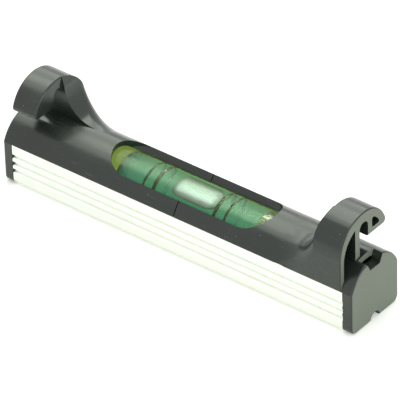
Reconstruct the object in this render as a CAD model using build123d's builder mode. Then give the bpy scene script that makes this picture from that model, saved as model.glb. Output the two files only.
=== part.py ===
"""Line level: a pocket spirit level that hangs on a taut string by two hooks.

Millimetres. X runs along the level, +Z is up, and the origin is on the sole under the middle.
The front side faces -Y. The hook at +X opens to +Y, and the hook at -X is the same moulding
turned half round, so it opens to -Y.
"""
import os
from math import asin, cos, degrees, radians, sin, sqrt

from build123d import *

os.makedirs("parts", exist_ok=True)

# Overall body
length = 80.0
width = 13.8
shoulder_height = 8.9            # top edge of the channel, where the black dome starts
dome_height = 13.5
seam_gap = 0.2                   # joint between the two mouldings at mid-length

# Aluminium channel
channel_wall = 1.3
channel_floor = 1.4
channel_corner = 1.4             # round between side and sole
channel_inner_corner = 0.5
rib_groove_count = 3
rib_groove_pitch = 1.6
rib_groove_first = 2.5           # first groove's centre below the top edge
rib_groove_depth = 0.5
rib_groove_mouth = 0.95
rib_groove_bottom = 0.4
sole_groove_radius = 1.4         # round groove along the middle of the sole
sole_groove_height = 1.5
sole_groove_cover = 0.8          # metal over that groove
channel_end_clearance = 0.1      # to the inside of each end plate
channel_side_clearance = 0.1     # between the channel and the skirts inside it
channel_floor_clearance = 0.15   # under those skirts

# End mouldings
end_plate = 2.0
end_plate_edge = 0.4             # round of the plate's outer edge
roof_wall = 1.25
skirt_wall = 1.3
notch_floor_height = 11.4        # notch in the top of the end plate
notch_floor_width = 2.8
notch_mouth_width = 5.0          # at the height of the dome's top
end_wall = 2.0                   # cross wall behind the vial's end
cradle_set_back = 0.4            # the cradle under the vial starts this far past the window

# String hook
hook_height = 22.15
hook_outboard = 2.4              # from the end plate's face to the hook's face
hook_thickness = 5.6             # along the string
hook_edge = 0.35
throat_width = 2.45
throat_height = 20.1             # top of the string seat
mouth_height = 16.35             # underside of the hook's free end
lip_corner = 0.9
web_thickness = 1.3
hook_skin = 1.0
hook_crown_skin = 1.85
hook_back_wall = 1.2             # left inboard of the pockets
pocket_reach = 3.0               # the pocket runs this far into the ramp
lip_wall = 1.2
lip_hole_skin = 1.6
lip_hole_corner = 0.4

# Ramp behind the hook's root
ramp_radius = 6.5
ramp_shoulders = ((0, 1.2), (24, 1.4), (46, 2.2), (66, 3.6))    # degrees turned, edge radius
ramp_lean = 0.6                  # the ramp starts this far inboard of the hook's back
ramp_runout = 2.4                # the ramp fades into the dome over this length
ramp_end_flat = 0.4              # and its flat top narrows to this

# Window over the vial
window_length = 36.6
window_width = 10.2
window_bevel = 1.05              # sideways
window_bevel_height = 1.25

# Vial
vial_radius = 4.7
vial_height = 7.7                # axis above the sole
vial_length = 41.0
vial_shift = -0.65               # where it came to lie between the two mouldings
vial_seat_clearance = 0.1
vial_end_play = 0.15
vial_edge = 0.4
bore_radius = 3.1                # at mid-length
bore_fall = 0.1                  # the barrel bore is this much smaller at its ends
bore_length = 31.2
plug_clearance = 0.02
ring_spacing_inner = 13.84
ring_spacing_outer = 18.54
ring_width_inner = 0.65
ring_width_outer = 0.4
ring_thickness = 0.15

# Bubble
bubble_length = 10.5
bubble_width = 4.3
bubble_depth = 1.7
bubble_clearance = 0.25          # under the top of the bore
bubble_round = 0.35
bubble_place = 0.65              # its middle, from the level's middle
bubble_side_clearance = 0.25     # to the liquid beside, below and past its travel
liquid_end = 0.6                 # liquid left at each end of the bubble's path
liquid_clearance = 0.03          # to the bore

# Worked out from the sizes above
half_length = length / 2
half_width = width / 2
plate_inner = half_length - end_plate
dome_rise = dome_height - shoulder_height
dome_radius = (dome_rise**2 + half_width**2) / (2 * dome_rise)
dome_centre = dome_height - dome_radius
channel_inner = half_width - channel_wall
skirt_outer = channel_inner - channel_side_clearance
skirt_inner = skirt_outer - skirt_wall
skirt_foot = channel_floor + channel_floor_clearance
bulge_radius = sole_groove_radius + sole_groove_cover
bulge_height = sole_groove_height + sole_groove_cover
hook_face = half_length - hook_outboard
hook_back = hook_face - hook_thickness
hook_centre = hook_height - half_width
throat_half = throat_width / 2
web_outer = throat_half + web_thickness
ramp_centre_x = hook_back - ramp_lean - ramp_radius
ramp_centre_z = dome_height + ramp_radius
ramp_end = ramp_centre_x - ramp_runout
ramp_reach = 1.3 * (ramp_centre_z - shoulder_height)
window_rim = dome_centre + sqrt(dome_radius**2 - (window_width / 2) ** 2)
socket_radius = vial_radius + vial_seat_clearance
socket_end = vial_length / 2 + abs(vial_shift) + vial_end_play
cavity_start = socket_end + end_wall
bore_end_radius = bore_radius - bore_fall
cradle_start = window_length / 2 + cradle_set_back
vial_line = Axis((vial_shift, 0, vial_height), (1, 0, 0))


def cross_plane(x: float) -> Plane:
    """Plane across the level at x, with local x along +Y and local y along +Z."""
    return Plane(origin=(x, 0, 0), x_dir=(0, 1, 0), z_dir=(1, 0, 0))


def side_plane(y: float) -> Plane:
    """Plane along the level at y, with local x along +X and local y along +Z."""
    return Plane(origin=(0, y, 0), x_dir=(1, 0, 0), z_dir=(0, -1, 0))


def vial_plane() -> Plane:
    """Plane along the vial with its origin at the vial's middle, local y up."""
    return Plane(origin=(vial_shift, 0, vial_height), x_dir=(1, 0, 0), z_dir=(0, -1, 0))


def arc_height(radius: float, y: float) -> float:
    """Height of an arc of the given radius above its centre at y."""
    return sqrt(radius**2 - y**2)


def under_ramp_centre(y: float) -> float:
    """Depth of the dome's surface at y below the centre of the ramp's curve."""
    return ramp_centre_z - dome_centre - arc_height(dome_radius, y)


# Aluminium channel: an extruded profile, sawn to length.
channel_half = plate_inner - channel_end_clearance
groove_centre = sole_groove_height - sole_groove_radius
with BuildSketch() as channel_hollow:
    with Locations((0, channel_floor + shoulder_height / 2)):
        Rectangle(2 * channel_inner, shoulder_height)
    fillet(channel_hollow.vertices().group_by(Axis.Y)[0], channel_inner_corner)
    with Locations((0, groove_centre)):
        Circle(bulge_radius, mode=Mode.SUBTRACT)

with BuildPart() as channel_profile:
    with BuildSketch(cross_plane(-channel_half)) as channel_section:
        with Locations((0, shoulder_height / 2)):
            Rectangle(width, shoulder_height)
        fillet(channel_section.vertices().group_by(Axis.Y)[0], channel_corner)
        add(channel_hollow.sketch, mode=Mode.SUBTRACT)
        with Locations((0, groove_centre)):
            Circle(sole_groove_radius, mode=Mode.SUBTRACT)
        Rectangle(2 * sole_groove_radius, 2 * groove_centre, mode=Mode.SUBTRACT)
        for row in range(rib_groove_count):
            z = shoulder_height - rib_groove_first - row * rib_groove_pitch
            for side in (-1, 1):
                outer = side * half_width
                inner = side * (half_width - rib_groove_depth)
                with BuildLine():
                    Polyline(
                        (outer, z - rib_groove_mouth / 2),
                        (inner, z - rib_groove_bottom / 2),
                        (inner, z + rib_groove_bottom / 2),
                        (outer, z + rib_groove_mouth / 2),
                        close=True,
                    )
                make_face(mode=Mode.SUBTRACT)
    extrude(amount=2 * channel_half)


# Outer form of a hook and its ramp: flush sides and a half-round crown.
with BuildSketch() as hook_outline:
    with BuildLine():
        Line((-half_width, hook_centre), (-half_width, shoulder_height))
        Line((-half_width, shoulder_height), (half_width, shoulder_height))
        Line((half_width, shoulder_height), (half_width, hook_centre))
        ThreePointArc((half_width, hook_centre), (0, hook_height), (-half_width, hook_centre))
    make_face()

with BuildPart() as outline_block:
    with BuildSketch(cross_plane(0)):
        add(hook_outline.sketch)
    extrude(amount=hook_face - hook_edge)


def ramp_section(plane: Plane, top: list, arc_middle: tuple, arc_end: tuple) -> Sketch:
    """Section of the ramp, its local y pointing into the body: flat top, round edge, plain side."""
    inner = throat_half
    with BuildSketch(plane) as section:
        with BuildLine():
            Line(top[0], top[1])
            ThreePointArc(top[1], arc_middle, arc_end)
            Line(arc_end, (half_width, ramp_reach))
            Line((half_width, ramp_reach), (inner, ramp_reach))
            Line((inner, ramp_reach), top[0])
        make_face()
    return section.sketch


# Concave ramp from the hook's back down to the dome. Its sections turn about the centre of its
# curve while its outer edge gets rounder, and the last is the dome's own section.
with BuildPart() as ramp:
    for angle, shoulder in ramp_shoulders:
        outward = Vector(cos(radians(angle)), 0, -sin(radians(angle)))
        radial = Plane(
            origin=(ramp_centre_x, 0, ramp_centre_z),
            x_dir=(0, -1, 0),
            z_dir=Vector(0, -1, 0).cross(outward),
        )
        flat_end = half_width - shoulder
        lean = shoulder * sin(radians(45))
        add(
            ramp_section(
                radial,
                [(throat_half, ramp_radius), (flat_end, ramp_radius)],
                (flat_end + lean, ramp_radius + shoulder - lean),
                (half_width, ramp_radius + shoulder),
            )
        )
    fade = Plane(origin=(ramp_end, 0, ramp_centre_z), x_dir=(0, -1, 0), z_dir=(1, 0, 0))
    fade_points = [
        (y, under_ramp_centre(y))
        for y in (throat_half, throat_half + ramp_end_flat, half_width / 2, half_width)
    ]
    add(ramp_section(fade, fade_points[:2], fade_points[2], fade_points[3]))
    loft()
    # Above the ramp's start the hook's back leans over to the crown.
    with BuildSketch(side_plane(-throat_half)):
        with BuildLine():
            Polyline(
                (ramp_centre_x + ramp_radius, ramp_centre_z),
                (hook_back, hook_height),
                (hook_face - hook_edge, hook_height),
                (hook_face - hook_edge, ramp_centre_z),
                close=True,
            )
        make_face()
    extrude(amount=half_width - throat_half)
    add(outline_block.part, mode=Mode.INTERSECT)
    # Nothing of it hangs below the top edge of the channel.
    with BuildSketch(Plane.XY.offset(shoulder_height)):
        with Locations((half_length / 2, 0)):
            Rectangle(half_length, width)
    extrude(amount=-shoulder_height, mode=Mode.SUBTRACT)


# Hook: outline less the mouth and the string throat.
with BuildPart() as hook:
    with BuildSketch(cross_plane(hook_back)) as hook_section:
        add(hook_outline.sketch)
        with BuildLine():
            Line((-throat_half, 0), (-throat_half, throat_height - throat_half))
            ThreePointArc(
                (-throat_half, throat_height - throat_half),
                (0, throat_height),
                (throat_half, throat_height - throat_half),
            )
            Line((throat_half, throat_height - throat_half), (throat_half, mouth_height))
            Line((throat_half, mouth_height), (width, mouth_height))
            Line((width, mouth_height), (width, 0))
            Line((width, 0), (-throat_half, 0))
        make_face(mode=Mode.SUBTRACT)
        lip_vertices = hook_section.vertices().filter_by(lambda v: abs(v.Y - mouth_height) < 0.01)
        lip_vertices = lip_vertices.sort_by(Axis.X)
        fillet(lip_vertices[-1], lip_corner)
        fillet(lip_vertices[0], hook_edge)
    extrude(amount=hook_thickness)
    crown_edges = hook.edges().filter_by(GeomType.CIRCLE).filter_by(
        lambda e: abs(e.radius - half_width) < 0.01
    )
    fillet(crown_edges, hook_edge)
    add(ramp.part)


# Pocket between the hook's web and its outer skin, cored from outboard.
pocket_radius = half_width - hook_skin
pocket_centre = hook_height - hook_crown_skin - pocket_radius
pocket_start = hook_back - pocket_reach
with BuildPart() as pocket_core:
    with BuildSketch(cross_plane(pocket_start)):
        with BuildLine():
            Line((-web_outer, shoulder_height), (-pocket_radius, shoulder_height))
            Line((-pocket_radius, shoulder_height), (-pocket_radius, pocket_centre))
            CenterArc(
                (0, pocket_centre),
                pocket_radius,
                180,
                -(90 - degrees(asin(web_outer / pocket_radius))),
            )
            Line(
                (-web_outer, pocket_centre + arc_height(pocket_radius, web_outer)),
                (-web_outer, shoulder_height),
            )
        make_face()
    extrude(amount=half_length - pocket_start)
    # It follows the ramp inboard, a wall's thickness behind it.
    back_wall_x = hook_back + hook_back_wall
    with BuildSketch(side_plane(half_width)):
        with Locations((ramp_centre_x, ramp_centre_z)):
            Circle(back_wall_x - ramp_centre_x)
        with Locations(((ramp_centre_x + back_wall_x) / 2, ramp_centre_z + half_width)):
            Rectangle(back_wall_x - ramp_centre_x, width)
    extrude(amount=2 * width, mode=Mode.SUBTRACT)

with BuildPart() as lip_core:
    with BuildSketch(cross_plane(hook_back + hook_back_wall)) as lip_hole:
        with Locations((0, hook_centre)):
            Circle(half_width - lip_hole_skin)
        with Locations((throat_half + lip_wall + width / 2, mouth_height + lip_wall + width / 2)):
            Rectangle(width, width, mode=Mode.INTERSECT)
        fillet(lip_hole.vertices(), lip_hole_corner)
    extrude(amount=hook_thickness)

with BuildPart() as window_core:
    with BuildSketch(Plane.XY.offset(window_rim - window_bevel_height)):
        SlotOverall(window_length - 2 * window_bevel, window_width - 2 * window_bevel)
    with BuildSketch(Plane.XY.offset(window_rim)):
        SlotOverall(window_length, window_width)
    loft()
    with BuildSketch(Plane.XY.offset(window_rim)):
        SlotOverall(window_length, window_width)
    extrude(amount=dome_height)


with BuildPart() as cored_hook:
    add(hook.part)
    add(pocket_core.part, mode=Mode.SUBTRACT)
    add(lip_core.part, mode=Mode.SUBTRACT)


# End moulding for the right end: half the dome and window, one hook and one end plate.
roof_radius = dome_radius - roof_wall
roof_spring = dome_centre + arc_height(roof_radius, skirt_inner)
with BuildPart() as end_moulding_right:
    with BuildSketch(cross_plane(seam_gap / 2)):
        with BuildLine():
            Line((-half_width, shoulder_height), (half_width, shoulder_height))
            ThreePointArc(
                (half_width, shoulder_height), (0, dome_height), (-half_width, shoulder_height)
            )
        make_face()
    extrude(amount=half_length - seam_gap / 2)
    with BuildSketch(cross_plane(plate_inner)) as plate_section:
        with Locations((0, shoulder_height / 2)):
            Rectangle(width, shoulder_height)
        fillet(plate_section.vertices().group_by(Axis.Y)[0], channel_corner)
    extrude(amount=end_plate)
    fillet(end_moulding_right.faces().sort_by(Axis.X)[-1].edges(), end_plate_edge)
    # Where the ramp fades out it takes the dome's place.
    with BuildSketch(Plane.XY.offset(shoulder_height)):
        with BuildLine():
            Polyline(
                (ramp_end, -throat_half),
                (ramp_centre_x, -throat_half),
                (ramp_centre_x, -width),
                (ramp_end, -width),
                close=True,
            )
        make_face()
    extrude(amount=dome_rise, mode=Mode.SUBTRACT)
    add(cored_hook.part)
    # Cradle, cross wall and skirts inside the channel.
    with BuildSketch(cross_plane(cradle_start)) as core_section:
        with Locations((0, (skirt_foot + shoulder_height + roof_wall) / 2)):
            Rectangle(2 * skirt_outer, shoulder_height + roof_wall - skirt_foot)
        fillet(core_section.vertices().group_by(Axis.Y)[0], channel_inner_corner)
        with Locations((0, groove_centre)):
            Circle(bulge_radius + channel_floor_clearance, mode=Mode.SUBTRACT)
    extrude(amount=plate_inner - cradle_start)
    # Hollow under the roof, open to the channel.
    with BuildSketch(cross_plane(cavity_start)):
        with BuildLine():
            Polyline(
                (-skirt_inner, roof_spring),
                (-skirt_inner, 0),
                (skirt_inner, 0),
                (skirt_inner, roof_spring),
            )
            ThreePointArc(
                (skirt_inner, roof_spring), (0, dome_height - roof_wall), (-skirt_inner, roof_spring)
            )
        make_face()
    extrude(amount=plate_inner - cavity_start, mode=Mode.SUBTRACT)
    # Seat of the vial.
    with BuildSketch(cross_plane(0)):
        with Locations((0, vial_height)):
            Circle(socket_radius)
    extrude(amount=socket_end, mode=Mode.SUBTRACT)
    add(window_core.part, mode=Mode.SUBTRACT)
    # Notch in the top of the plate, open to the hollow, and the end of the sole's groove.
    with BuildSketch(cross_plane(plate_inner)):
        with BuildLine():
            Polyline(
                (-notch_floor_width / 2, notch_floor_height),
                (notch_floor_width / 2, notch_floor_height),
                (notch_mouth_width / 2, dome_height),
                (-notch_mouth_width / 2, dome_height),
                close=True,
            )
        make_face()
        with Locations((0, groove_centre)):
            Circle(sole_groove_radius)
        Rectangle(2 * sole_groove_radius, 2 * groove_centre)
    extrude(amount=end_plate, mode=Mode.SUBTRACT)

with BuildPart() as end_moulding_left:
    add(end_moulding_right.part.rotate(Axis.Z, 180))


# Vial: a barrel bored from the right, a plug, four rings in its bore, the liquid and the bubble.
ring_places = {
    "ring_outer_left": (-ring_spacing_outer / 2, ring_width_outer),
    "ring_inner_left": (-ring_spacing_inner / 2, ring_width_inner),
    "ring_inner_right": (ring_spacing_inner / 2, ring_width_inner),
    "ring_outer_right": (ring_spacing_outer / 2, ring_width_outer),
}
half_vial = vial_length / 2
half_bore = bore_length / 2
with BuildPart() as vial_barrel:
    with BuildSketch(vial_plane()) as barrel_section:
        with Locations((0, vial_radius / 2)):
            Rectangle(vial_length, vial_radius)
        fillet(barrel_section.vertices().group_by(Axis.Y)[-1], vial_edge)
        with BuildLine():
            Line((-half_bore, 0), (-half_bore, bore_end_radius))
            ThreePointArc((-half_bore, bore_end_radius), (0, bore_radius), (half_bore, bore_end_radius))
            Line((half_bore, bore_end_radius), (half_vial, bore_end_radius))
            Line((half_vial, bore_end_radius), (half_vial, 0))
            Line((half_vial, 0), (-half_bore, 0))
        make_face(mode=Mode.SUBTRACT)
        for place, ring_width in ring_places.values():
            with Locations((place, bore_radius)):
                Rectangle(ring_width, 2 * ring_thickness, mode=Mode.SUBTRACT)
    revolve(axis=vial_line)

with BuildPart() as vial_plug:
    with BuildSketch(vial_plane()) as plug_section:
        with Locations(((half_bore + half_vial) / 2, (bore_end_radius - plug_clearance) / 2)):
            Rectangle(half_vial - half_bore, bore_end_radius - plug_clearance)
        chamfer(plug_section.vertices().group_by(Axis.Y)[-1], vial_edge / 2)
    revolve(axis=vial_line)

for name, (place, ring_width) in ring_places.items():
    with BuildPart() as ring:
        with BuildSketch(vial_plane()):
            with Locations((place, bore_radius + ring_thickness / 2)):
                Rectangle(ring_width, ring_thickness)
        revolve(axis=vial_line)
    ring.part.label = name
    export_step(ring.part, f"parts/{name}.step")

bubble_top = bore_radius - bubble_clearance
bubble_base = bubble_top - bubble_depth
path_half_width = bubble_width / 2 + bubble_side_clearance
with BuildPart() as vial_liquid:
    with BuildSketch(vial_plane()):
        with BuildLine():
            Line((-half_bore, 0), (-half_bore, bore_end_radius - liquid_clearance))
            ThreePointArc(
                (-half_bore, bore_end_radius - liquid_clearance),
                (0, bore_radius - liquid_clearance),
                (half_bore, bore_end_radius - liquid_clearance),
            )
            Line((half_bore, bore_end_radius - liquid_clearance), (half_bore, 0))
            Line((half_bore, 0), (-half_bore, 0))
        make_face()
    revolve(axis=vial_line)
    with BuildSketch(Plane.XY.offset(vial_height + bubble_base - bubble_side_clearance)):
        with Locations((vial_shift, 0)):
            Rectangle(bore_length - 2 * liquid_end, 2 * path_half_width)
    extrude(amount=bore_radius, mode=Mode.SUBTRACT)

with BuildPart() as bubble:
    with BuildSketch(Plane.XY.offset(vial_height + bubble_base)):
        with Locations((bubble_place, 0)):
            SlotOverall(bubble_length, bubble_width)
    extrude(amount=bubble_depth)
    with BuildSketch(cross_plane(bubble_place - bubble_length)):
        with Locations((0, vial_height)):
            Circle(bubble_top)
    extrude(amount=2 * bubble_length, mode=Mode.INTERSECT)
    fillet(bubble.faces().sort_by(Axis.Z)[0].edges(), bubble_round)


channel_profile.part.label = "channel_profile"
export_step(channel_profile.part, "parts/channel_profile.step")
end_moulding_right.part.label = "end_moulding_right"
export_step(end_moulding_right.part, "parts/end_moulding_right.step")
end_moulding_left.part.label = "end_moulding_left"
export_step(end_moulding_left.part, "parts/end_moulding_left.step")
vial_barrel.part.label = "vial_barrel"
export_step(vial_barrel.part, "parts/vial_barrel.step")
vial_plug.part.label = "vial_plug"
export_step(vial_plug.part, "parts/vial_plug.step")
vial_liquid.part.label = "vial_liquid"
export_step(vial_liquid.part, "parts/vial_liquid.step")
bubble.part.label = "bubble"
export_step(bubble.part, "parts/bubble.step")
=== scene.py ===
"""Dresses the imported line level, lights it as in a product photograph and sets up the camera.

Blender's unit is the metre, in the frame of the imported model: X runs along the level, +Z is up
and the sole lies on the floor. Sizes written here are in millimetres.
"""
import logging
from collections.abc import Callable
from dataclasses import dataclass, field
from enum import Enum
from math import cos, pi, radians, sin

import bpy
from mathutils import Matrix, Vector


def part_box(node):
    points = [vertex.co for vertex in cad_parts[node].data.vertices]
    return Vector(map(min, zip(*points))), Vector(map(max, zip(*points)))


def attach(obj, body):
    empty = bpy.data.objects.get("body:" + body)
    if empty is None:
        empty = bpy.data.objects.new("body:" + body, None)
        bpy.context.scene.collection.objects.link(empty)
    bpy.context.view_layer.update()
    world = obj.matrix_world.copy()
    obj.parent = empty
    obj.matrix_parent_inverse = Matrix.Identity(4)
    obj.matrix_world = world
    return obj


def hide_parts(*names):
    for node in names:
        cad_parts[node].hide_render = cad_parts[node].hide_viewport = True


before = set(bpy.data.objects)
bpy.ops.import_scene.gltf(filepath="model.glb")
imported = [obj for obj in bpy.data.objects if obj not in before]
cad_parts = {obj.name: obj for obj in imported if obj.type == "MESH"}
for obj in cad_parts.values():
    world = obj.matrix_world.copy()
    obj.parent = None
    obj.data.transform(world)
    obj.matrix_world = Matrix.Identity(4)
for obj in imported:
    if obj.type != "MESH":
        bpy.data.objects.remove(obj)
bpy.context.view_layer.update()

MM = 0.001
FINE_DETAIL = 3.0
PLAIN_DETAIL = 2.0
WHITE = (1.0, 1.0, 1.0, 1.0)
log = logging.getLogger("line_level")


class Body(Enum):
    """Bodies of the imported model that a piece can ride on."""

    FRAME = "frame"
    BUBBLE = "bubble"


class Slot(Enum):
    """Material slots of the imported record."""

    ALUMINIUM = "anodised_aluminium"
    BLACK_PLASTIC = "black_plastic"
    ACRYLIC = "clear_acrylic"
    LIQUID = "green_liquid"
    RING = "black_ring"
    AIR = "air"


def linear(code: str) -> tuple[float, float, float, float]:
    """Turns an sRGB hex code into a linear colour.

    Args:
        code: The colour as "#RRGGBB".

    Returns:
        Linear red, green, blue and an alpha of 1.
    """
    channels = []
    for start in (1, 3, 5):
        value = int(code[start:start + 2], 16) / 255
        channels.append(value / 12.92 if value <= 0.04045 else ((value + 0.055) / 1.055) ** 2.4)
    return (*channels, 1.0)


def per_size(size: float) -> float:
    """Scale of a texture on Object coordinates whose features are this many millimetres."""
    return 1 / (size * MM)


def add_node(
    tree: bpy.types.NodeTree,
    kind: str,
    settings: dict[str, object] | None = None,
    inputs: dict[str | int, object] | None = None,
) -> bpy.types.Node:
    """Adds a node with its settings and links.

    Args:
        tree: The node tree that gets the node.
        kind: Blender's type name of the node.
        settings: Properties of the node by name.
        inputs: Values, or output sockets to link from, by input name or index.

    Returns:
        The new node.
    """
    node = tree.nodes.new(kind)
    for name, value in (settings or {}).items():
        setattr(node, name, value)
    for name, value in (inputs or {}).items():
        if isinstance(value, bpy.types.NodeSocket):
            tree.links.new(value, node.inputs[name])
        else:
            node.inputs[name].default_value = value
    return node


def new_material(name: str) -> tuple[bpy.types.Material, bpy.types.NodeTree]:
    """Makes a material with an empty node tree.

    Args:
        name: The material's name.

    Returns:
        The material and its node tree.
    """
    material = bpy.data.materials.new(name)
    material.use_nodes = True
    material.node_tree.nodes.clear()
    return material, material.node_tree


def dress(obj: bpy.types.Object, material: bpy.types.Material) -> None:
    """Gives every material slot of an object this material.

    Args:
        obj: The object; one without slots gets one.
        material: Its finish.
    """
    if not obj.material_slots:
        obj.data.materials.append(material)
    for slot in obj.material_slots:
        slot.material = material


@dataclass(frozen=True)
class MouldedAbs:
    """Black ABS, injection moulded.

    The polished cavity leaves a deep gloss that mirrors the white studio at low angles. The ends
    of the moulding come from spark-eroded steel, so they are rough; their lighter grey is a
    painted sheen that stands in for the bright studio mirrored in them. Handling has left soft
    smears, hairline scuffs and a few specks of dust.
    """

    name: str = "moulded_black_abs"
    colour: str = "#232925"
    # Lighter grey of the end faces: a painted sheen that stands in for the mirrored studio
    painted_sheen_colour: str = "#656B62"
    scuff_colour: str = "#6C7069"
    dust_colour: str = "#A9AC9F"
    ior: float = 1.53
    gloss_roughness: float = 0.17
    smear_roughness: float = 0.30
    matt_roughness: float = 0.55
    smear_size: float = 7.0
    smear_range: tuple[float, float] = (0.4, 0.65)
    scuff_width: float = 0.22
    scuff_stretch: float = 0.06
    scuff_range: tuple[float, float] = (0.66, 0.80)
    scuff_amount: float = 0.35
    grain_size: float = 0.16
    grain_height: float = 0.004
    grain_strength: float = 0.6
    dust_spacing: float = 2.2
    dust_size: float = 0.09
    dust_core: float = 0.4
    dust_amount: float = 0.7
    matt_and_sheen_from: float = 37.3
    matt_and_sheen_facing: tuple[float, float] = (0.80, 0.97)

    def material(self) -> bpy.types.Material:
        """Builds the node tree and returns the material."""
        material, tree = new_material(self.name)
        place = add_node(tree, "ShaderNodeTexCoord").outputs["Object"]
        matt_and_sheen = self.end_mask(tree, place)
        smear = add_node(
            tree, "ShaderNodeTexNoise", {},
            {"Vector": place, "Scale": per_size(self.smear_size), "Detail": FINE_DETAIL},
        )
        smear_roughness = add_node(
            tree, "ShaderNodeMapRange", {},
            {"Value": smear.outputs["Fac"],
             "From Min": self.smear_range[0], "From Max": self.smear_range[1],
             "To Min": self.gloss_roughness, "To Max": self.smear_roughness},
        )
        roughness = add_node(
            tree, "ShaderNodeMix", {"data_type": "FLOAT"},
            {"Factor": matt_and_sheen, "A": smear_roughness.outputs["Result"], "B": self.matt_roughness},
        )
        scuffed = self.with_scuffs(tree, place)
        # Painted sheen: the end faces get a lighter grey that stands in for the bright studio they
        # mirror
        ends = add_node(
            tree, "ShaderNodeMix", {"data_type": "RGBA"},
            {"Factor": matt_and_sheen, 6: scuffed, 7: linear(self.painted_sheen_colour)},
        )
        colour = self.with_dust(tree, place, ends.outputs[2])
        grain = add_node(
            tree, "ShaderNodeTexNoise", {},
            {"Vector": place, "Scale": per_size(self.grain_size), "Detail": PLAIN_DETAIL},
        )
        bump = add_node(
            tree, "ShaderNodeBump", {},
            {"Strength": self.grain_strength, "Distance": self.grain_height * MM,
             "Height": grain.outputs["Fac"]},
        )
        shader = add_node(
            tree, "ShaderNodeBsdfPrincipled", {},
            {"Base Color": colour, "Roughness": roughness.outputs[0], "IOR": self.ior,
             "Normal": bump.outputs["Normal"]},
        )
        add_node(tree, "ShaderNodeOutputMaterial", {}, {"Surface": shader.outputs["BSDF"]})
        return material

    def end_mask(
        self, tree: bpy.types.NodeTree, place: bpy.types.NodeSocket
    ) -> bpy.types.NodeSocket:
        """Adds the mask of the flat faces at both ends of the level, which get a rougher finish
        and a painted sheen.

        Args:
            tree: The material's node tree.
            place: Object coordinates.

        Returns:
            A socket that is 1 on those faces.
        """
        normal = add_node(tree, "ShaderNodeNewGeometry").outputs["Normal"]
        facing = add_node(tree, "ShaderNodeSeparateXYZ", {}, {"Vector": normal}).outputs["X"]
        along = add_node(tree, "ShaderNodeSeparateXYZ", {}, {"Vector": place}).outputs["X"]
        end = add_node(tree, "ShaderNodeMath", {"operation": "SIGN"}, {0: along})
        outward = add_node(
            tree, "ShaderNodeMath", {"operation": "MULTIPLY"}, {0: facing, 1: end.outputs[0]}
        )
        flat = add_node(
            tree, "ShaderNodeMapRange", {},
            {"Value": outward.outputs[0],
             "From Min": self.matt_and_sheen_facing[0], "From Max": self.matt_and_sheen_facing[1]},
        )
        distance = add_node(tree, "ShaderNodeMath", {"operation": "ABSOLUTE"}, {0: along})
        beyond = add_node(
            tree, "ShaderNodeMath", {"operation": "GREATER_THAN"},
            {0: distance.outputs[0], 1: self.matt_and_sheen_from * MM},
        )
        return add_node(
            tree, "ShaderNodeMath", {"operation": "MULTIPLY"},
            {0: flat.outputs["Result"], 1: beyond.outputs[0]},
        ).outputs[0]

    def with_scuffs(
        self, tree: bpy.types.NodeTree, place: bpy.types.NodeSocket
    ) -> bpy.types.NodeSocket:
        """Adds hairline scuffs along the level to the plain colour.

        Args:
            tree: The material's node tree.
            place: Object coordinates.

        Returns:
            The colour with the scuffs.
        """
        stretched = add_node(
            tree, "ShaderNodeMapping", {},
            {"Vector": place, "Scale": (self.scuff_stretch, 1.0, 1.0)},
        )
        hairs = add_node(
            tree, "ShaderNodeTexNoise", {},
            {"Vector": stretched.outputs["Vector"], "Scale": per_size(self.scuff_width),
             "Detail": PLAIN_DETAIL},
        )
        amount = add_node(
            tree, "ShaderNodeMapRange", {},
            {"Value": hairs.outputs["Fac"], "From Min": self.scuff_range[0],
             "From Max": self.scuff_range[1], "To Max": self.scuff_amount},
        )
        return add_node(
            tree, "ShaderNodeMix", {"data_type": "RGBA"},
            {"Factor": amount.outputs["Result"], 6: linear(self.colour),
             7: linear(self.scuff_colour)},
        ).outputs[2]

    def with_dust(
        self,
        tree: bpy.types.NodeTree,
        place: bpy.types.NodeSocket,
        colour: bpy.types.NodeSocket,
    ) -> bpy.types.NodeSocket:
        """Adds scattered specks of dust to a colour.

        Args:
            tree: The material's node tree.
            place: Object coordinates.
            colour: The colour under the dust.

        Returns:
            The colour with the dust.
        """
        cells = add_node(
            tree, "ShaderNodeTexVoronoi", {},
            {"Vector": place, "Scale": per_size(self.dust_spacing)},
        )
        near = add_node(
            tree, "ShaderNodeMapRange", {},
            {"Value": cells.outputs["Distance"],
             "From Min": self.dust_size / self.dust_spacing,
             "From Max": self.dust_core * self.dust_size / self.dust_spacing,
             "To Max": self.dust_amount},
        )
        return add_node(
            tree, "ShaderNodeMix", {"data_type": "RGBA"},
            {"Factor": near.outputs["Result"], 6: colour, 7: linear(self.dust_colour)},
        ).outputs[2]


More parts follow.
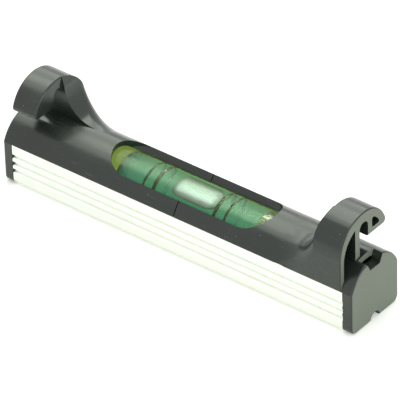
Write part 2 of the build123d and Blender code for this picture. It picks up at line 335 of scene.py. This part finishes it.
@dataclass(frozen=True)
class AnodisedAluminium:
    """Natural anodised aluminium, extruded.

    The die leaves fine lines along the level and the etch before anodising a silky, near white
    sheen with a trace of green.
    """

    name: str = "anodised_extruded_aluminium"
    colour: str = "#F3F8EF"
    line_colour: str = "#E3E9DE"
    roughness: float = 0.34
    line_roughness: float = 0.46
    line_width: float = 0.11
    line_stretch: float = 0.004
    line_height: float = 0.003
    line_strength: float = 0.5
    line_range: tuple[float, float] = (0.35, 0.70)
    etch_size: float = 0.30
    etch_share: float = 0.35

    def material(self) -> bpy.types.Material:
        """Builds the node tree and returns the material."""
        material, tree = new_material(self.name)
        place = add_node(tree, "ShaderNodeTexCoord").outputs["Object"]
        stretched = add_node(
            tree, "ShaderNodeMapping", {},
            {"Vector": place, "Scale": (self.line_stretch, 1.0, 1.0)},
        )
        lines = add_node(
            tree, "ShaderNodeTexNoise", {},
            {"Vector": stretched.outputs["Vector"], "Scale": per_size(self.line_width),
             "Detail": FINE_DETAIL},
        )
        etch = add_node(
            tree, "ShaderNodeTexNoise", {},
            {"Vector": place, "Scale": per_size(self.etch_size), "Detail": PLAIN_DETAIL},
        )
        mixed = add_node(
            tree, "ShaderNodeMix", {"data_type": "FLOAT"},
            {"Factor": self.etch_share, "A": lines.outputs["Fac"], "B": etch.outputs["Fac"]},
        )
        amount = add_node(
            tree, "ShaderNodeMapRange", {},
            {"Value": mixed.outputs[0],
             "From Min": self.line_range[0], "From Max": self.line_range[1]},
        )
        colour = add_node(
            tree, "ShaderNodeMix", {"data_type": "RGBA"},
            {"Factor": amount.outputs["Result"], 6: linear(self.colour),
             7: linear(self.line_colour)},
        )
        roughness = add_node(
            tree, "ShaderNodeMix", {"data_type": "FLOAT"},
            {"Factor": amount.outputs["Result"], "A": self.roughness, "B": self.line_roughness},
        )
        bump = add_node(
            tree, "ShaderNodeBump", {},
            {"Strength": self.line_strength, "Distance": self.line_height * MM,
             "Height": mixed.outputs[0]},
        )
        shader = add_node(
            tree, "ShaderNodeBsdfPrincipled", {},
            {"Base Color": colour.outputs[2], "Metallic": 1.0, "Roughness": roughness.outputs[0],
             "Normal": bump.outputs["Normal"]},
        )
        add_node(tree, "ShaderNodeOutputMaterial", {}, {"Surface": shader.outputs["BSDF"]})
        return material


@dataclass(frozen=True)
class ClearBody:
    """A clear material: a smooth surface and a tint that grows with depth.

    Lamps shine through it, so that what lies under it is lit. The depth is the millimetres that
    the tint takes to tell, and none means no tint. The glow is a painted glow: light painted into
    the volume in each millimetre, which shines with no lamp behind it. Shine is the share of the
    surface that also mirrors the studio, and silver the share that mirrors like metal, as the wall
    of a bubble does by total reflection.
    """

    name: str
    ior: float
    surface_colour: str
    depth_colour: str
    depth: float
    shine: float = 1.0
    painted_glow_colour: str = "#000000"
    glow: float = 0.0
    silver: float = 0.0
    silver_colour: str = "#9A86AE"
    silver_roughness: float = 0.34
    roughness: float = 0.0
    blemish_size: float = 3.0
    blemish_range: tuple[float, float] = (0.45, 0.75)
    blemish_roughness: float = 0.02

    def material(self) -> bpy.types.Material:
        """Builds the node tree and returns the material."""
        material, tree = new_material(self.name)
        place = add_node(tree, "ShaderNodeTexCoord").outputs["Object"]
        haze = add_node(
            tree, "ShaderNodeTexNoise", {},
            {"Vector": place, "Scale": per_size(self.blemish_size), "Detail": PLAIN_DETAIL},
        )
        roughness = add_node(
            tree, "ShaderNodeMapRange", {},
            {"Value": haze.outputs["Fac"],
             "From Min": self.blemish_range[0], "From Max": self.blemish_range[1],
             "To Min": self.roughness, "To Max": self.roughness + self.blemish_roughness},
        )
        glass = add_node(
            tree, "ShaderNodeBsdfGlass", {},
            {"Color": linear(self.surface_colour), "Roughness": roughness.outputs["Result"],
             "IOR": self.ior},
        )
        open_to_lamps = add_node(
            tree, "ShaderNodeBsdfTransparent", {}, {"Color": linear(self.surface_colour)}
        )
        shineless = add_node(
            tree, "ShaderNodeBsdfRefraction", {},
            {"Color": linear(self.surface_colour), "Roughness": roughness.outputs["Result"],
             "IOR": self.ior},
        )
        clear = add_node(
            tree, "ShaderNodeMixShader", {},
            {0: self.shine, 1: shineless.outputs["BSDF"], 2: glass.outputs["BSDF"]},
        )
        mirror = add_node(
            tree, "ShaderNodeBsdfPrincipled", {},
            {"Base Color": linear(self.silver_colour), "Metallic": 1.0,
             "Roughness": self.silver_roughness},
        )
        body = add_node(
            tree, "ShaderNodeMixShader", {},
            {0: self.silver, 1: clear.outputs["Shader"], 2: mirror.outputs["BSDF"]},
        )
        shadow_ray = add_node(tree, "ShaderNodeLightPath").outputs["Is Shadow Ray"]
        surface = add_node(
            tree, "ShaderNodeMixShader", {},
            {0: shadow_ray, 1: body.outputs["Shader"], 2: open_to_lamps.outputs["BSDF"]},
        )
        output = add_node(
            tree, "ShaderNodeOutputMaterial", {}, {"Surface": surface.outputs["Shader"]}
        )
        if self.depth:
            tint = add_node(
                tree, "ShaderNodeVolumeAbsorption", {},
                {"Color": linear(self.depth_colour), "Density": 1 / (self.depth * MM)},
            )
            # Painted glow: emission in the volume that brightens the body with no lamp behind it
            light = add_node(
                tree, "ShaderNodeEmission", {},
                {"Color": linear(self.painted_glow_colour), "Strength": self.glow / MM},
            )
            filling = add_node(
                tree, "ShaderNodeAddShader", {},
                {0: tint.outputs["Volume"], 1: light.outputs["Emission"]},
            )
            tree.links.new(filling.outputs["Shader"], output.inputs["Volume"])
        return material


@dataclass(frozen=True)
class RingPaint:
    """Black paint on the wall of the bore: without any shine, and slightly uneven in density."""

    name: str = "printed_black_paint"
    colour: str = "#060707"
    thin_colour: str = "#141A17"
    patch_size: float = 0.5

    def material(self) -> bpy.types.Material:
        """Builds the node tree and returns the material."""
        material, tree = new_material(self.name)
        place = add_node(tree, "ShaderNodeTexCoord").outputs["Object"]
        patches = add_node(
            tree, "ShaderNodeTexNoise", {},
            {"Vector": place, "Scale": per_size(self.patch_size)},
        )
        colour = add_node(
            tree, "ShaderNodeMix", {"data_type": "RGBA"},
            {"Factor": patches.outputs["Fac"], 6: linear(self.colour),
             7: linear(self.thin_colour)},
        )
        shader = add_node(
            tree, "ShaderNodeBsdfDiffuse", {}, {"Color": colour.outputs[2]}
        )
        add_node(tree, "ShaderNodeOutputMaterial", {}, {"Surface": shader.outputs["BSDF"]})
        return material


def pick_vertices(obj: bpy.types.Object, wanted: Callable[[Vector], bool]) -> None:
    """Selects the vertices of an object in edit mode by their place.

    Args:
        obj: The object, in edit mode.
        wanted: Says of a vertex's place, in metres, whether it is selected.
    """
    bpy.ops.mesh.select_mode(type="VERT")
    bpy.ops.mesh.select_all(action="DESELECT")
    bpy.ops.object.mode_set(mode="OBJECT")
    for vertex in obj.data.vertices:
        vertex.select = wanted(obj.matrix_world @ vertex.co)
    bpy.ops.object.mode_set(mode="EDIT")


def settle(obj: bpy.types.Object, name: str, smooth_angle: float = 35.0) -> None:
    """Names a finished piece, puts its place into its mesh and smooths its shading.

    Args:
        obj: The piece.
        name: Its name.
        smooth_angle: Edges flatter than this, in degrees, are shaded smooth.
    """
    obj.name = name
    obj.data.name = name
    bpy.ops.object.transform_apply(location=True, rotation=True, scale=True)
    bpy.ops.object.mode_set(mode="EDIT")
    bpy.ops.mesh.select_all(action="SELECT")
    bpy.ops.mesh.normals_make_consistent(inside=False)
    bpy.ops.object.mode_set(mode="OBJECT")
    bpy.ops.object.shade_smooth_by_angle(angle=radians(smooth_angle))


@dataclass
class Mouldings:
    """The two equal end mouldings with their hooks."""

    finish: MouldedAbs = field(default_factory=MouldedAbs)
    nodes: tuple[str, str] = ("end_moulding_right", "end_moulding_left")

    def build(self) -> list[bpy.types.Object]:
        """Dresses both mouldings and returns them."""
        material = self.finish.material()
        pieces = [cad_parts[name] for name in self.nodes]
        for piece in pieces:
            dress(piece, material)
        return pieces


@dataclass
class Channel:
    """The extruded channel that carries the mouldings."""

    finish: AnodisedAluminium = field(default_factory=AnodisedAluminium)
    node: str = "channel_profile"

    def build(self) -> list[bpy.types.Object]:
        """Dresses the channel and returns it."""
        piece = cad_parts[self.node]
        dress(piece, self.finish.material())
        return [piece]


@dataclass
class Vial:
    """Barrel, plug, printed rings, liquid and bubble.

    The liquid's column laps over the wall of the bore and tapers to both ends as the bore does.
    The bubble lies a film of liquid below the top of the bore.
    """

    segments: int = 128
    liquid_clearance: float = 0.03
    overlap: float = 0.005
    taper: float = 5.0
    end_fall: float = 0.1
    end_zone: float = 1.0
    bubble_rings: int = 32
    bubble_film: float = 0.15
    bubble_depth: float = 1.95
    bubble_seam: float = 0.01
    bubble_smooth_angle: float = 60.0
    trim_lengths: float = 4.0
    # Cast acrylic of the barrel and the plug, tinted yellow-green where it is thick, with a
    # painted yellow-green glow
    acrylic: ClearBody = ClearBody(
        "cast_clear_acrylic", 1.49, "#FAFFF4", "#D9F08C", 30.0,
        shine=0.4, painted_glow_colour="#CDEB78", glow=0.03, blemish_roughness=0.03,
    )
    # Spirit with a green dye, and a painted cyan glow
    liquid: ClearBody = ClearBody(
        "tinted_spirit", 1.36, "#F2FFF8", "#3FB99A", 2.2, painted_glow_colour="#60F4FF", glow=0.040
    )
    # Air, which meets the spirit as its mirror-like wall
    air: ClearBody = ClearBody(
        "air_in_spirit", 1 / 1.36, "#FFFFFF", "#FFFFFF", 0.0, silver=0.92
    )
    paint: RingPaint = field(default_factory=RingPaint)

    def build(self) -> list[bpy.types.Object]:
        """Builds and dresses the pieces of the vial and returns them."""
        pieces = []
        acrylic = self.acrylic.material()
        for name in ("vial_barrel", "vial_plug"):
            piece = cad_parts[name]
            dress(piece, acrylic)
            pieces.append(piece)
        paint = self.paint.material()
        for name in ("ring_outer_left", "ring_inner_left", "ring_inner_right", "ring_outer_right"):
            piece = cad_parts[name]
            dress(piece, paint)
            pieces.append(piece)
        pieces.append(self.liquid_column())
        pieces.append(self.bubble())
        return pieces

    def bore(self) -> tuple[float, float, Vector]:
        """Works out the bore from the liquid that fills it.

        Returns:
            Its radius, its length and its middle, in metres.
        """
        low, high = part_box("vial_liquid")
        half_width = (high.y - low.y) / 2
        middle = Vector(((low.x + high.x) / 2, (low.y + high.y) / 2, low.z + half_width))
        return half_width + self.liquid_clearance * MM, high.x - low.x, middle

    def liquid_column(self) -> bpy.types.Object:
        """Builds the liquid: a smooth column that fills the bore to its wall.

        Returns:
            The finished piece.
        """
        radius, length, centre = self.bore()
        bpy.ops.object.select_all(action="DESELECT")
        bpy.ops.mesh.primitive_cylinder_add(
            vertices=self.segments, radius=radius + self.overlap * MM, depth=length,
            location=centre, rotation=(0, pi / 2, 0),
        )
        column = bpy.context.object
        bpy.ops.object.mode_set(mode="EDIT")
        for side in (-1, 1):
            bpy.ops.mesh.select_all(action="SELECT")
            bpy.ops.mesh.bisect(
                plane_co=centre + Vector((side * (length / 2 - self.taper * MM), 0, 0)),
                plane_no=(1, 0, 0),
            )
        end_start = length / 2 - self.end_zone * MM
        pick_vertices(column, lambda p: abs(p.x - centre.x) > end_start)
        narrowed = 1 - self.end_fall * MM / radius
        bpy.ops.transform.resize(value=(1, narrowed, narrowed), center_override=centre)
        bpy.ops.object.mode_set(mode="OBJECT")
        settle(column, "liquid_column")
        dress(column, self.liquid.material())
        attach(column, Body.FRAME.value)
        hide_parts("vial_liquid")
        return column

    def bubble(self) -> bpy.types.Object:
        """Builds the bubble: a long pill under the top of the bore, flattened by its buoyancy.

        Returns:
            The finished piece.
        """
        low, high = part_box("bubble")
        radius, _, middle = self.bore()
        half_width = (high.y - low.y) / 2
        stretch = (high.x - low.x) / 2 - half_width
        top = middle.z + radius - self.bubble_film * MM
        depth = self.bubble_depth * MM
        centre = Vector(((low.x + high.x) / 2, 0, top - depth / 2))
        bpy.ops.object.select_all(action="DESELECT")
        bpy.ops.mesh.primitive_uv_sphere_add(
            segments=2 * self.bubble_rings, ring_count=self.bubble_rings, radius=half_width,
            location=centre, rotation=(0, pi / 2, 0),
        )
        pill = bpy.context.object
        bpy.ops.object.mode_set(mode="EDIT")
        for side in (-1, 1):
            pick_vertices(pill, lambda p: side * (p.x - centre.x) > self.bubble_seam * MM)
            bpy.ops.transform.translate(value=(side * stretch, 0, 0))
        bpy.ops.mesh.select_all(action="SELECT")
        bpy.ops.transform.resize(
            value=(1, 1, depth / (2 * half_width)), center_override=centre
        )
        bpy.ops.object.mode_set(mode="OBJECT")
        bpy.ops.mesh.primitive_cylinder_add(
            vertices=self.segments, radius=radius - self.bubble_film * MM,
            depth=self.trim_lengths * (high.x - low.x),
            location=(centre.x, 0, middle.z), rotation=(0, pi / 2, 0),
        )
        bore = bpy.context.object
        bpy.ops.object.select_all(action="DESELECT")
        pill.select_set(True)
        bpy.context.view_layer.objects.active = pill
        trim = pill.modifiers.new("bore", "BOOLEAN")
        trim.operation = "INTERSECT"
        trim.object = bore
        bpy.ops.object.modifier_apply(modifier=trim.name)
        bpy.data.objects.remove(bore)
        settle(pill, "bubble_pill", self.bubble_smooth_angle)
        dress(pill, self.air.material())
        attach(pill, Body.BUBBLE.value)
        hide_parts("bubble")
        return pill


@dataclass(frozen=True)
class Softbox:
    """A square lamp that faces the level: its place and the length of its side, and its watts.

    One that doesn't light shows only where a glossy surface mirrors it.
    """

    name: str
    place: tuple[float, float, float]
    size: float
    power: float
    lights: bool = True


@dataclass
class Studio:
    """White studio: a floor, an even white surround and soft lamps."""

    floor_size: float = 3000.0
    floor_colour: str = "#F4F4F2"
    floor_lift: float = 0.25
    surround_light: float = 0.75
    lamp_colour: str = "#F1FDEC"
    lamps: tuple[Softbox, ...] = (
        Softbox("overhead_softbox", (-120.0, 160.0, 620.0), 600.0, 2.1),
        Softbox("front_softbox", (120.0, -650.0, 160.0), 500.0, 0.4),
        Softbox("right_softbox", (620.0, -60.0, 260.0), 320.0, 1.6),
        Softbox("rear_reflector", (-350.0, 245.0, 546.0), 900.0, 5.0, lights=False),
    )

    def build(self) -> None:
        """Builds the floor, the surround and the lamps."""
        self.floor()
        self.surround()
        for softbox in self.lamps:
            self.lamp(softbox)
        bpy.context.scene.view_settings.view_transform = "Standard"

    def seen(self, tree: bpy.types.NodeTree) -> bpy.types.NodeSocket:
        """Adds the mask of the rays that see the background: camera, mirror and glass rays.

        Args:
            tree: The node tree.

        Returns:
            A socket that is 1 for those rays.
        """
        path = add_node(tree, "ShaderNodeLightPath")
        glossy = add_node(
            tree, "ShaderNodeMath", {"operation": "MAXIMUM"},
            {0: path.outputs["Is Camera Ray"], 1: path.outputs["Is Glossy Ray"]},
        )
        return add_node(
            tree, "ShaderNodeMath", {"operation": "MAXIMUM"},
            {0: glossy.outputs[0], 1: path.outputs["Is Transmission Ray"]},
        ).outputs[0]

    def floor(self) -> None:
        """Lays the floor: white card, a little brighter to the eye, which keeps the shadow."""
        bpy.ops.object.select_all(action="DESELECT")
        bpy.ops.mesh.primitive_plane_add(size=self.floor_size * MM, location=(0, 0, 0))
        floor = bpy.context.object
        floor.name = "studio_floor"
        material, tree = new_material("white_card")
        card = add_node(
            tree, "ShaderNodeBsdfDiffuse", {}, {"Color": linear(self.floor_colour)}
        )
        strength = add_node(
            tree, "ShaderNodeMath", {"operation": "MULTIPLY"},
            {0: self.seen(tree), 1: self.floor_lift},
        )
        glow = add_node(
            tree, "ShaderNodeEmission", {},
            {"Color": WHITE, "Strength": strength.outputs[0]},
        )
        both = add_node(
            tree, "ShaderNodeAddShader", {},
            {0: card.outputs["BSDF"], 1: glow.outputs["Emission"]},
        )
        add_node(tree, "ShaderNodeOutputMaterial", {}, {"Surface": both.outputs["Shader"]})
        dress(floor, material)

    def surround(self) -> None:
        """Sets the world: white where it is seen or mirrored, and a plainer light elsewhere."""
        world = bpy.data.worlds.new("white_surround")
        world.use_nodes = True
        tree = world.node_tree
        tree.nodes.clear()
        strength = add_node(
            tree, "ShaderNodeMapRange", {},
            {"Value": self.seen(tree), "To Min": self.surround_light, "To Max": 1.0},
        )
        light = add_node(
            tree, "ShaderNodeBackground", {},
            {"Color": WHITE, "Strength": strength.outputs["Result"]},
        )
        add_node(tree, "ShaderNodeOutputWorld", {}, {"Surface": light.outputs["Background"]})
        bpy.context.scene.world = world

    def lamp(self, softbox: Softbox) -> None:
        """Hangs up a softbox.

        Args:
            softbox: What it is and where it hangs.
        """
        data = bpy.data.lights.new(softbox.name, "AREA")
        data.size = softbox.size * MM
        data.energy = softbox.power
        data.color = linear(self.lamp_colour)[:3]
        lamp = bpy.data.objects.new(softbox.name, data)
        bpy.context.collection.objects.link(lamp)
        lamp.location = Vector(softbox.place) * MM
        lamp.rotation_euler = (-lamp.location).to_track_quat("-Z", "Y").to_euler()
        lamp.visible_diffuse = softbox.lights


@dataclass
class PhotoCamera:
    """The camera, where the photograph was taken from. Angles are in degrees."""

    azimuth: float = 39.278
    elevation: float = 36.119
    roll: float = -1.823
    distance: float = 862.4
    focal_length: float = 430.0
    sensor: float = 36.0
    clip_start: float = 10.0
    target: tuple[float, float, float] = (0.708, 0.0, 8.999)

    def build(self) -> None:
        """Places the camera and makes it the scene's."""
        turn, lift, roll = (radians(a) for a in (self.azimuth, self.elevation, self.roll))
        back = Vector((sin(turn) * cos(lift), -cos(turn) * cos(lift), sin(lift)))
        level_right = Vector((cos(turn), sin(turn), 0))
        level_up = back.cross(level_right)
        right = cos(roll) * level_right + sin(roll) * level_up
        up = cos(roll) * level_up - sin(roll) * level_right
        place = Vector(self.target) * MM + back * self.distance * MM
        data = bpy.data.cameras.new("photo_camera")
        data.lens = self.focal_length
        data.sensor_width = self.sensor
        data.clip_start = self.clip_start * MM
        camera = bpy.data.objects.new("photo_camera", data)
        bpy.context.collection.objects.link(camera)
        turned = Matrix((right, up, back)).transposed().to_4x4()
        camera.matrix_world = Matrix.Translation(place) @ turned
        bpy.context.scene.camera = camera


def main() -> None:
    logging.basicConfig(level=logging.INFO, format="%(message)s")
    for assembly in (Mouldings(), Channel(), Vial()):
        for piece in assembly.build():
            log.info("%s: %s", type(assembly).__name__, piece.name)
    PhotoCamera().build()
    Studio().build()


if __name__ == "__main__":
    main()
